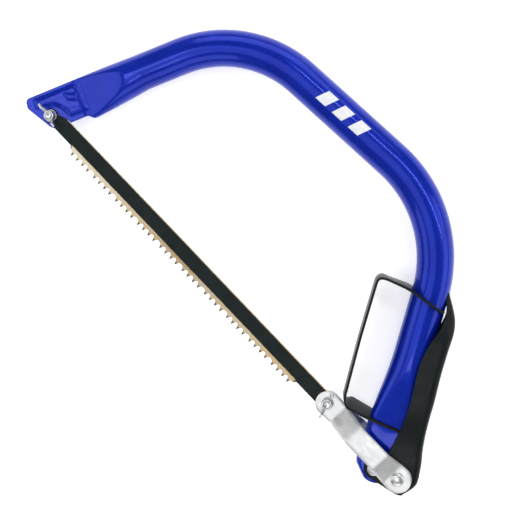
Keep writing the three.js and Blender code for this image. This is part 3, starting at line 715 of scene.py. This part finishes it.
def blade():
    """Peg teeth in groups of four, bent to alternate sides and ground to an edge."""
    rear = node_span("blade")[1][0]
    lean = Matrix.Rotation(BLADE_LEAN, 3, "Z")
    teeth = [
        TOOTH_START + group * GROUP_PITCH + tooth * TOOTH_PITCH
        for group in range(TOOTH_GROUPS) for tooth in range(TEETH_PER_GROUP)
    ]
    corner = 2.5
    last_angle = 2 * math.pi + math.asin(BLADE_FRONT_PLAIN / BLADE_END_RADIUS)
    round_end = [BLADE_END_RADIUS * turn(a, (1, 0)) for a in np.linspace(math.radians(50), last_angle, 25)]
    outline = [tuple(p) for p in curve_through((15.6, BLADE_BACK), (8.6, 7, *round_end[0]), steps=6)]
    outline += [tuple(p) for p in round_end[1:]]
    outline += [(teeth[0] - TOOTH_MARGIN - 1, BLADE_FRONT_PLAIN), (teeth[0] - TOOTH_MARGIN, BLADE_FRONT)]
    for k, middle_x in enumerate(teeth):
        outline.append((middle_x - TOOTH_WIDTH / 2, BLADE_FRONT - 0.5))
        outline.append((middle_x, TOOTH_TIP))
        outline.append((middle_x + TOOTH_WIDTH / 2, BLADE_FRONT - 0.5))
        if k + 1 < len(teeth):
            gap = teeth[k + 1] - middle_x
            outline.append((middle_x + gap * 0.42, BLADE_FRONT + 0.1))
            outline.append((middle_x + gap * 0.58, BLADE_FRONT + 0.1))
    outline += [(teeth[-1] + TOOTH_MARGIN, BLADE_FRONT), (teeth[-1] + TOOTH_MARGIN + 1, BLADE_FRONT_PLAIN)]
    outline += [(rear - corner, BLADE_FRONT_PLAIN), (rear, BLADE_FRONT_PLAIN + corner)]
    outline += [(rear, BLADE_BACK - corner), (rear - corner, BLADE_BACK)]
    shape = bmesh.new()
    verts = [shape.verts.new((x, y, -BLADE_HALF)) for x, y in outline]
    bottom = shape.faces.new(verts)
    grown = bmesh.ops.extrude_face_region(shape, geom=[bottom])
    for v in grown["geom"]:
        if isinstance(v, bmesh.types.BMVert):
            v.co.z = BLADE_HALF
    for v in shape.verts:
        depth = max(0.0, (BLADE_FRONT - 0.6 - v.co.y) / (BLADE_FRONT - 0.6 - TOOTH_TIP))
        if depth > 0.5:
            nearest = min(range(len(teeth)), key=lambda k: abs(teeth[k] - v.co.x))
            side = 1 if nearest % 2 else -1
            v.co.z = v.co.z * 0.45 + side * TOOTH_SET
    bmesh.ops.triangulate(shape, faces=shape.faces[:])
    points = [lean @ v.co for v in shape.verts]
    faces = [tuple(v.index for v in f.verts) for f in shape.faces]
    shape.free()
    steel = make("saw_blade", points, faces, STEEL, None, sharp=0)
    drills = [
        drill(BLADE_HOLE, 3, (0, 0), STEEL),
        drill(REAR_BLADE_HOLE, 3, (REAR_BOLT[0] + 1.35, REAR_BOLT[1] - 1.07), STEEL),
    ]
    join_or_cut(steel, drills, "DIFFERENCE")
    dress(steel, STEEL, "blade", ["blade"], 20)
    return steel


# ---- Link plates -----------------------------------------------------------------------------

LINK_SHEET = 1.5
LINK_FOLDS = (296.4, 312.7, 339.6, 351.0)
LINK_LEVELS = (1.45, 13.15, 10.75)


def link_level(x):
    """Height of the plate's middle above the blade: a joggle up from it, then a smaller one down."""
    a, b, c, d = LINK_FOLDS
    low, mid, high = LINK_LEVELS
    soft = 1.3
    xs = np.linspace(-soft, soft, 9) + x
    table = np.interp(xs, [a, b, c, d], [low, mid, mid, high])
    return float(table.mean())


def link_plate(name, side, node):
    front_r, middle_half, rear_r = 8.7, 8.1, 10.0
    flare = [math.radians(93.2), math.radians(83.3)]
    front_bend = np.linspace(math.pi / 2, flare[1], 4)
    rear_bend = np.linspace(flare[0] + 0.06, math.pi / 2, 4)
    sides = [(REAR_BOLT[0] + front_r * math.cos(a), front_r * math.sin(a)) for a in front_bend]
    sides += [(LINK_FOLDS[0], middle_half), (LINK_FOLDS[2], middle_half)]
    sides += [(RIVET[0] + rear_r * math.cos(a), rear_r * math.sin(a)) for a in rear_bend]
    sides = np.array(sides)
    start, end = REAR_BOLT[0] - front_r, RIVET[0] + rear_r
    xs = np.unique(np.concatenate([
        start + front_r * (1 - np.cos(np.linspace(0, math.pi / 2, 16))),
        np.linspace(REAR_BOLT[0], RIVET[0], 76),
        end - rear_r * (1 - np.cos(np.linspace(math.pi / 2, 0, 16))),
    ]))

    def half_width(x):
        if x < REAR_BOLT[0]:
            return math.sqrt(max(front_r ** 2 - (x - REAR_BOLT[0]) ** 2, 0.0004))
        if x > RIVET[0]:
            return math.sqrt(max(rear_r ** 2 - (x - RIVET[0]) ** 2, 0.0004))
        return float(np.interp(x, sides[:, 0], sides[:, 1]))

    across = 9
    points, faces = [], []
    for x in xs:
        slope = (link_level(x + 0.05) - link_level(x - 0.05)) / 0.1
        normal = np.array([-slope, 1.0]) / math.hypot(slope, 1)
        half = half_width(x)
        for sheet in (-LINK_SHEET / 2, LINK_SHEET / 2):
            for k in range(across):
                y = half * (2 * k / (across - 1) - 1)
                level = link_level(x) + normal[1] * sheet
                points.append((x + normal[0] * sheet, y, side * level))
    row = 2 * across
    for r in range(len(xs) - 1):
        a = r * row
        for k in range(across - 1):
            faces.append((a + k, a + k + 1, a + k + 1 + row, a + k + row))
            b = a + across + k
            faces.append((b, b + row, b + 1 + row, b + 1))
        faces.append((a, a + row, a + row + across, a + across))
        b = a + across - 1
        faces.append((b, b + across, b + across + row, b + row))
    for a in (0, (len(xs) - 1) * row):
        for k in range(across - 1):
            faces.append((a + k, a + k + 1, a + across + k + 1, a + across + k))
    plate = make(name, points, faces, ZINC_PLATES, None, sharp=0)
    drills = [
        drill(BLADE_HOLE, 20, REAR_BOLT, ZINC),
        drill(RIVET_HOLE, 20, RIVET, ZINC),
    ]
    join_or_cut(plate, drills, "DIFFERENCE")
    bevel(plate, 0.28, 2, 50)
    settle(plate)
    return dress(plate, ZINC_PLATES, "link", [node], 30)


# ---- Lever -----------------------------------------------------------------------------------

LEVER_SHEET = 1.5
LEVER_CORNER = 4.6
LEVER_HALF_WIDTH = 9.7
LEVER_BELLY_HALF_WIDTH = 13.4
LEVER_TIP_HALF_WIDTH = 6.0
LEVER_TOP = 133.0
LEVER_FOOT = -13.0
LEVER_SPINE = np.array([
    [-14, 22.4], [-12, 25], [-8, 28.3], [-4.6, 31.2], [0, 31.8], [12, 30.7], [22, 28.7], [32, 27.6],
    [45, 27], [57, 27], [77, 26.1], [95, 26.2], [105, 26.7], [110, 26.4], [115, 25.3], [119, 23.8], [123, 21.6],
    [128, 18.6], [133, 15.6],
])
CHEEK_EDGE = curve_through(
    (21, -13.2), (15, -12.6, 9, -10), (-1.0, -7.35), (-6.2, -6.6, -7.4, -0.4), (-7.3, 2.4, -5.6, 4.8),
    (-1, 7.8, 5, 9.6), (7.9, 17, 9.8, 31.5), (11.3, 42, 11, 54), (9.8, 77), (10.3, 90, 14.2, 100),
    (16.6, 106, 17.7, 112.5),
    (18.9, 118, 16.9, 122.6), (15, 127, 14, 133),
)


def smooth_table(table, at, reach=3.0):
    """Reads a list of (position, value) with its corners eased over a short reach."""
    spots = at + np.linspace(-reach, reach, 9)
    return float(np.interp(spots, table[:, 0], table[:, 1]).mean())


def lever_half_width(height):
    belly = (LEVER_BELLY_HALF_WIDTH - LEVER_HALF_WIDTH) * ease(height, 20, 52)
    tip = (LEVER_BELLY_HALF_WIDTH - LEVER_TIP_HALF_WIDTH) * ease(height, 96, LEVER_TOP)
    return float(LEVER_HALF_WIDTH + belly - tip)


def lever_section(height, inset):
    """Points from the front cheek's edge round the back to the rear cheek's edge."""
    edge = float(np.interp(height, CHEEK_EDGE[:, 1], CHEEK_EDGE[:, 0]))
    back = smooth_table(LEVER_SPINE, height) - inset
    half = lever_half_width(height) - inset
    radius = min(LEVER_CORNER - inset, half * 0.8, max(back - edge, 1.0) * 0.9)
    edge = min(edge, back - radius)
    bend = [k / 9 * math.pi / 2 for k in range(10)]
    across = [(mix(edge, back - radius, k / 14), half) for k in range(14)]
    across += [
        (back - radius + radius * math.sin(a), half - radius + radius * math.cos(a)) for a in bend
    ]
    web = [(back, mix(half - radius, radius - half, k / 8)) for k in range(1, 8)]
    points = across + web + [(x, -z) for x, z in reversed(across)]
    return [(*in_handle(x, height), z) for x, z in points]


def lever():
    heights = np.concatenate([
        np.linspace(LEVER_FOOT, 12, 44), np.linspace(12.8, 96, 64)[1:], np.linspace(97, LEVER_TOP, 40),
    ])
    outer = [lever_section(h, 0.0) for h in heights]
    inner = [lever_section(h, LEVER_SHEET) for h in heights]
    count = len(outer[0])
    rows = len(heights)
    points = [p for row in outer for p in row] + [p for row in inner for p in row]
    shift = rows * count
    skin = rows_to_faces(rows, count, closed=False, capped=False)
    faces = skin + [tuple(shift + i for i in reversed(f)) for f in skin]
    for r in range(rows - 1):
        for i in (0, count - 1):
            a = r * count + i
            faces.append((a, a + count, a + count + shift, a + shift))
    for r in (0, rows - 1):
        for i in range(count - 1):
            a = r * count + i
            faces.append((a, a + 1, a + 1 + shift, a + shift))
    channel = make("tension_lever", points, faces, BLACK, None, sharp=0)
    drills = [
        turned("drill_a", [(3.3, -20), (3.3, 20)], (*PIVOT, 0), BLACK, None, 48, sharp=0),
        turned("drill_b", [(2.8, -20), (2.8, 20)], (*RIVET, 0), BLACK, None, 48, sharp=0),
    ]
    join_or_cut(channel, drills, "DIFFERENCE")
    bevel(channel, 0.4, 2, 50)
    settle(channel)
    return dress(channel, BLACK, "lever", ["lever_channel"], 40)


# ---- Knuckle guard ---------------------------------------------------------------------------

GUARD_SHEET = 1.8
GUARD_WIDTH = 20.0
GUARD_RING_WIDTH = 32.6
GUARD_LEAN = 0.24
GUARD_STRIP_LEAN = 0.085
GUARD_CORNERS = (
    (16, 118.6, 0), (10.4, 120.8, 3), (-12, 128.9, 3.6), (-34.8, 131.4, 5.5), (-35.2, 86, 4.5),
    (-34.2, 39.4, 3.9), (-14, 34.8, 1.5), (12, 31, 0),
)


def guard_path():
    bends = []
    for x, y, radius in GUARD_CORNERS:
        bends.append((x, y, radius))
    coarse = np.array(rounded(bends, 8))
    fine = [coarse[0]]
    for point in coarse[1:]:
        steps = max(1, int(np.linalg.norm(point - fine[-1]) / 1.5))
        start = fine[-1]
        fine += [mix(start, point, k / steps) for k in range(1, steps + 1)]
    return np.array(fine)


def knuckle_guard():
    path = guard_path()
    tangents = np.gradient(path, axis=0)
    tangents /= np.linalg.norm(tangents, axis=1)[:, None]
    soft = 0.45
    t, ring = GUARD_SHEET / 2, 0.5
    section = rounded([(-t, -ring, soft), (t, -ring, soft), (t, ring, soft), (-t, ring, soft)], 3)
    rows = []
    for (x, y), tangent in zip(path, tangents):
        if y > 80:
            widths = [GUARD_WIDTH, GUARD_RING_WIDTH, GUARD_RING_WIDTH, GUARD_WIDTH]
            width = np.interp(x, [-28, -12, 9, 16], widths)
            roll = GUARD_STRIP_LEAN * (1 - float(ease(x, -34.6, -26)))
        else:
            width = np.interp(x, [-30, -17, 6], [GUARD_WIDTH, 18.4, 15.2])
            roll = GUARD_STRIP_LEAN - (GUARD_LEAN + GUARD_STRIP_LEAN) * float(ease(x, -34, -29))
        width -= 0.04
        normal = np.array([-tangent[1], tangent[0]])
        row = []
        for a, b in section:
            rise = math.copysign(width / 2 - (ring - abs(b)), b)
            flat = np.array([x, y]) + normal * (a + rise * math.sin(roll))
            row.append((*in_handle(*flat), rise * math.cos(roll)))
        rows.append(row)
    count = len(section)
    points = [p for row in rows for p in row]
    guard = make("guard_strip", points, rows_to_faces(len(rows), count), BLACK, None, sharp=0)
    runs = [run for run in np.arange(BOW_LENGTH - 190, BOW_LENGTH - 0.5, 1.5)]
    clear = [tube_section(run, 72, -0.4) for run in runs]
    cutter_points = [p for row in clear for p in row]
    cutter = make("cutter", cutter_points, rows_to_faces(len(clear), 72), BLACK, None, sharp=0)
    join_or_cut(guard, [cutter], "DIFFERENCE")
    return dress(guard, BLACK, "frame", ["knuckle_guard"], 40)


# ---- Fasteners -------------------------------------------------------------------------------

THREAD_PITCH = 0.8


def threaded_bolt(name, node, at, body):
    """A round-head bolt, head down, with a real helical thread."""
    low, high = node_span(node)
    bottom, top = low[2], high[2]
    seat = bottom + 2.4
    radius, depth = 2.4, 0.42
    core = radius - 0.25
    dome = [(0.02, 0), (2.2, 0.12), (4.1, 0.55), (5.3, 1.1), (5.92, 1.75), (6, 2.2), (5.85, 2.4)]
    profile = [(r, bottom + z) for r, z in dome] + [(core, seat), (core, top - 1.0)]
    head = turned(name, profile, (*at, 0), ZINC, None, 64, sharp=0)
    around, per_turn = 40, 10
    turns = (top - seat - 0.3) / THREAD_PITCH
    rows = int(turns * per_turn)
    points = []
    for r in range(rows + 1):
        z = seat + 0.15 + r / per_turn * THREAD_PITCH
        for k in range(around):
            angle = 2 * math.pi * k / around
            phase = ((z - seat) / THREAD_PITCH - k / around) % 1.0
            crest = 1 - abs(2 * phase - 1)
            fade = float(ease(top - z, 0.0, 1.1)) * 0.85 + 0.15
            reach = (radius - depth * (1 - crest)) - (1 - fade) * 0.6
            x, y = at[0] + reach * math.cos(angle), at[1] + reach * math.sin(angle)
            points.append((x, y, min(z, top)))
    thread = make("thread", points, rows_to_faces(rows + 1, around), ZINC, None, sharp=0)
    join_or_cut(head, [thread], "UNION")
    return dress(head, ZINC, body, [node], 35)


def washer(name, node, at, body):
    low, high = node_span(node)
    bottom, top = low[2], high[2]
    bore, rim, edge = 2.7, 4.4, 0.15
    profile = [
        (bore, bottom + edge), (bore + edge, bottom), (rim - edge, bottom), (rim, bottom + edge),
        (rim, top - edge), (rim - edge, top), (bore + edge, top), (bore, top - edge),
        (bore, bottom + edge),
    ]
    return turned(name, profile, (*at, 0), ZINC, body, 64,
                  stands_for=[node], slot="zinc_plate", sharp=30)


def wing_nut(name, node, at, angle, body):
    """A pressed wing nut: a tapered boss with a bored middle and two thin wings with rolled rims."""
    seat = node_span(node)[0][2]
    bore, foot, crown, tall = 2.5, 4.0, 3.5, 4.4
    boss_profile = rounded([
        (bore, 0, 0.2), (foot, 0, 0.25), (foot, 1.0, 0.4), (crown, tall, 0.35), (bore, tall, 0.35),
    ], 3)
    boss = turned(name, boss_profile + [boss_profile[0]], (*at, seat), ZINC, None, 64, sharp=0)
    outline = [tuple(p) for p in curve_through((3.1, 0.9), (4.6, 1.6), (7.5, 3.7, 9.5, 7.7), steps=7)]
    tip, tip_radius = (7.9, 9), 1.85
    tip_bend = np.linspace(-0.35, 2.5, 14)
    outline += [
        (tip[0] + tip_radius * math.cos(a), tip[1] + tip_radius * math.sin(a)) for a in tip_bend
    ]
    outline += [tuple(p) for p in curve_through((6.2, 7.6), (5.2, 6.2, 3.1, 3.9), steps=6)[1:]]
    wings = []
    thick = 1.0
    layers = [(-1.0, 0.78), (-0.86, 0.93), (-0.5, 1.0), (0.5, 1.0), (0.86, 0.93), (1.0, 0.78)]
    centre = np.mean(outline, axis=0)
    for side in (0, math.pi):
        points = []
        for share, shrink in layers:
            for x, z in outline:
                px, pz = centre + (np.array([x, z]) - centre) * (1 - (1 - shrink) * 0.35)
                bulge = thick * share * (1 - 0.25 * float(ease(px, 4, 9)))
                flat = turn(angle + side, (px, bulge))
                points.append((at[0] + flat[0], at[1] + flat[1], seat + pz))
        wings.append(make("wing", points, rows_to_faces(len(layers), len(outline)), ZINC, None, sharp=0))
    join_or_cut(boss, wings, "UNION")
    bevel(boss, 0.18, 2, 40)
    settle(boss)
    return dress(boss, ZINC, body, [node], 40)


def headed_pin(name, node, at, body, radius, head, rim, crown=0.0):
    """A pin with the same head at both ends: a flat rim, domed when it has a crown."""
    low, high = node_span(node)
    half = (high[2] - low[2]) / 2
    mid = (high[2] + low[2]) / 2
    seat = half - rim - crown
    bend = np.linspace(0, math.pi / 2, 9)[:-1]
    dome = [(head * math.cos(a), seat + rim + crown * math.sin(a)) for a in bend]
    if crown == 0:
        dome = [(head, seat + rim - 0.2), (head - 0.3, seat + rim)]
    upper = [(radius, seat), (head - 0.25, seat), (head, seat + 0.25), *dome, (0.02, half)]
    profile = [(r, -z) for r, z in reversed(upper)] + upper
    return turned(name, [(r, mid + z) for r, z in profile], (*at, 0), ZINC, body, 64,
                  stands_for=[node], slot="zinc_plate", sharp=35)


# ---- Everything together ---------------------------------------------------------------------

frame_tube()
printed_bars()
blade()
link_plate("link_front", 1, "link_plate_front")
link_plate("link_back", -1, "link_plate_back")
lever()
knuckle_guard()
threaded_bolt("front_blade_bolt", "front_bolt", (0, 0), "frame")
threaded_bolt("rear_blade_bolt", "rear_bolt", REAR_BOLT, "link")
washer("front_blade_washer", "front_washer", (0, 0), "frame")
washer("rear_blade_washer", "rear_washer", REAR_BOLT, "link")
wing_nut("front_nut_winged", "front_wing_nut", (0, 0), math.radians(-10.2), "front_nut")
wing_nut("rear_nut_winged", "rear_wing_nut", REAR_BOLT, math.radians(-75), "rear_nut")
headed_pin("link_rivet_formed", "link_rivet", RIVET, "lever", 2.5, 4.7, 0.7, 1.6)
headed_pin("pivot_pin_headed", "lever_pivot_pin", PIVOT, "frame", 3.0, 4.8, 0.4, 0.8)
for hidden in ("link_spacer", "pivot_bush_front", "pivot_bush_back"):
    dress(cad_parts[hidden], ZINC, None, sharp=35)

# ---- Floor, light and camera -----------------------------------------------------------------

def studio_floor():
    low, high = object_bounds()
    centre = (low + high) / 2
    reach = 3.0
    mesh = bpy.data.meshes.new("floor")
    corners = [(-reach, -reach), (reach, -reach), (reach, reach), (-reach, reach)]
    mesh.from_pydata([(centre.x + x, centre.y + y, low.z - 0.0004) for x, y in corners], [], [(0, 1, 2, 3)])
    floor = bpy.data.objects.new("floor", mesh)
    bpy.context.scene.collection.objects.link(floor)
    mesh.materials.append(floor_paper())


CAMERA_AT = (215.49, 164.77, 861.19)
CAMERA_RIGHT = Vector((0.69452, 0.70604, -0.13841))
CAMERA_DOWN = Vector((0.71794, -0.69265, 0.06924))
CAMERA_BACK = Vector((0.04698, 0.14746, 0.98795))
LENS_WIDTHS = 1230 / 510


def soft_box(name, right, up, back, size, glow, lean=0.0):
    """A soft box placed and turned in the camera's directions, facing the saw."""
    low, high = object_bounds()
    centre = (low + high) / 2
    offset = CAMERA_RIGHT * right - CAMERA_DOWN * up + CAMERA_BACK * back
    light = bpy.data.lights.new(name, "AREA")
    light.shape = "RECTANGLE"
    light.size, light.size_y = size
    light.energy = glow * math.pi * size[0] * size[1]
    lamp = bpy.data.objects.new(name, light)
    bpy.context.scene.collection.objects.link(lamp)
    outward = offset.normalized()
    long_way = CAMERA_RIGHT * math.cos(math.radians(lean)) - CAMERA_DOWN * math.sin(math.radians(lean))
    long_way = (long_way - outward * long_way.dot(outward)).normalized()
    facing = Matrix((long_way, outward.cross(long_way), outward)).transposed()
    lamp.matrix_world = Matrix.Translation(centre + offset) @ facing.to_4x4()


SOFT_BOXES = {
    "overhead": (-0.45, -0.2, 1.35, (0.9, 1.0), 1.0),
    "nose_glint": (-0.72, 0.12, 1.33, (0.4, 0.32), 2.6),
    "handle_glint": (-0.16, -0.56, 1.33, (0.36, 0.32), 3.3),
    "streak": (0.6, 0.36, 1.35, (1.3, 0.12), 9.0, -28),
    "upper": (0.1, 1.3, 0.8, (1.6, 0.8), 2.0),
    "right": (1.4, -0.1, 0.8, (0.8, 1.4), 1.8),
    "left": (-1.4, 0.0, 0.7, (0.8, 1.4), 1.6),
    "lower": (0.0, -1.4, 0.7, (1.4, 0.8), 1.6),
}


def studio_light():
    world = bpy.data.worlds.new("studio")
    world.use_nodes = True
    background = world.node_tree.nodes["Background"]
    background.inputs["Color"].default_value = (1.0, 1.0, 1.0, 1)
    background.inputs["Strength"].default_value = 0.25
    bpy.context.scene.world = world
    for name, settings in SOFT_BOXES.items():
        soft_box(name, *settings)



def camera():
    data = bpy.data.cameras.new("camera")
    data.sensor_width = 36
    data.lens = LENS_WIDTHS * data.sensor_width
    data.clip_start, data.clip_end = 0.01, 20
    holder = bpy.data.objects.new("camera", data)
    bpy.context.scene.collection.objects.link(holder)
    right = CAMERA_RIGHT.normalized()
    up = -(CAMERA_DOWN - right * CAMERA_DOWN.dot(right)).normalized()
    turned_to = Matrix((right, up, right.cross(up))).transposed()
    holder.matrix_world = Matrix.Translation(ORIGIN + Vector(CAMERA_AT) * MM) @ turned_to.to_4x4()
    bpy.context.scene.camera = holder


camera()
studio_light()
studio_floor()
view = bpy.context.scene.view_settings
view.view_transform = "Standard"
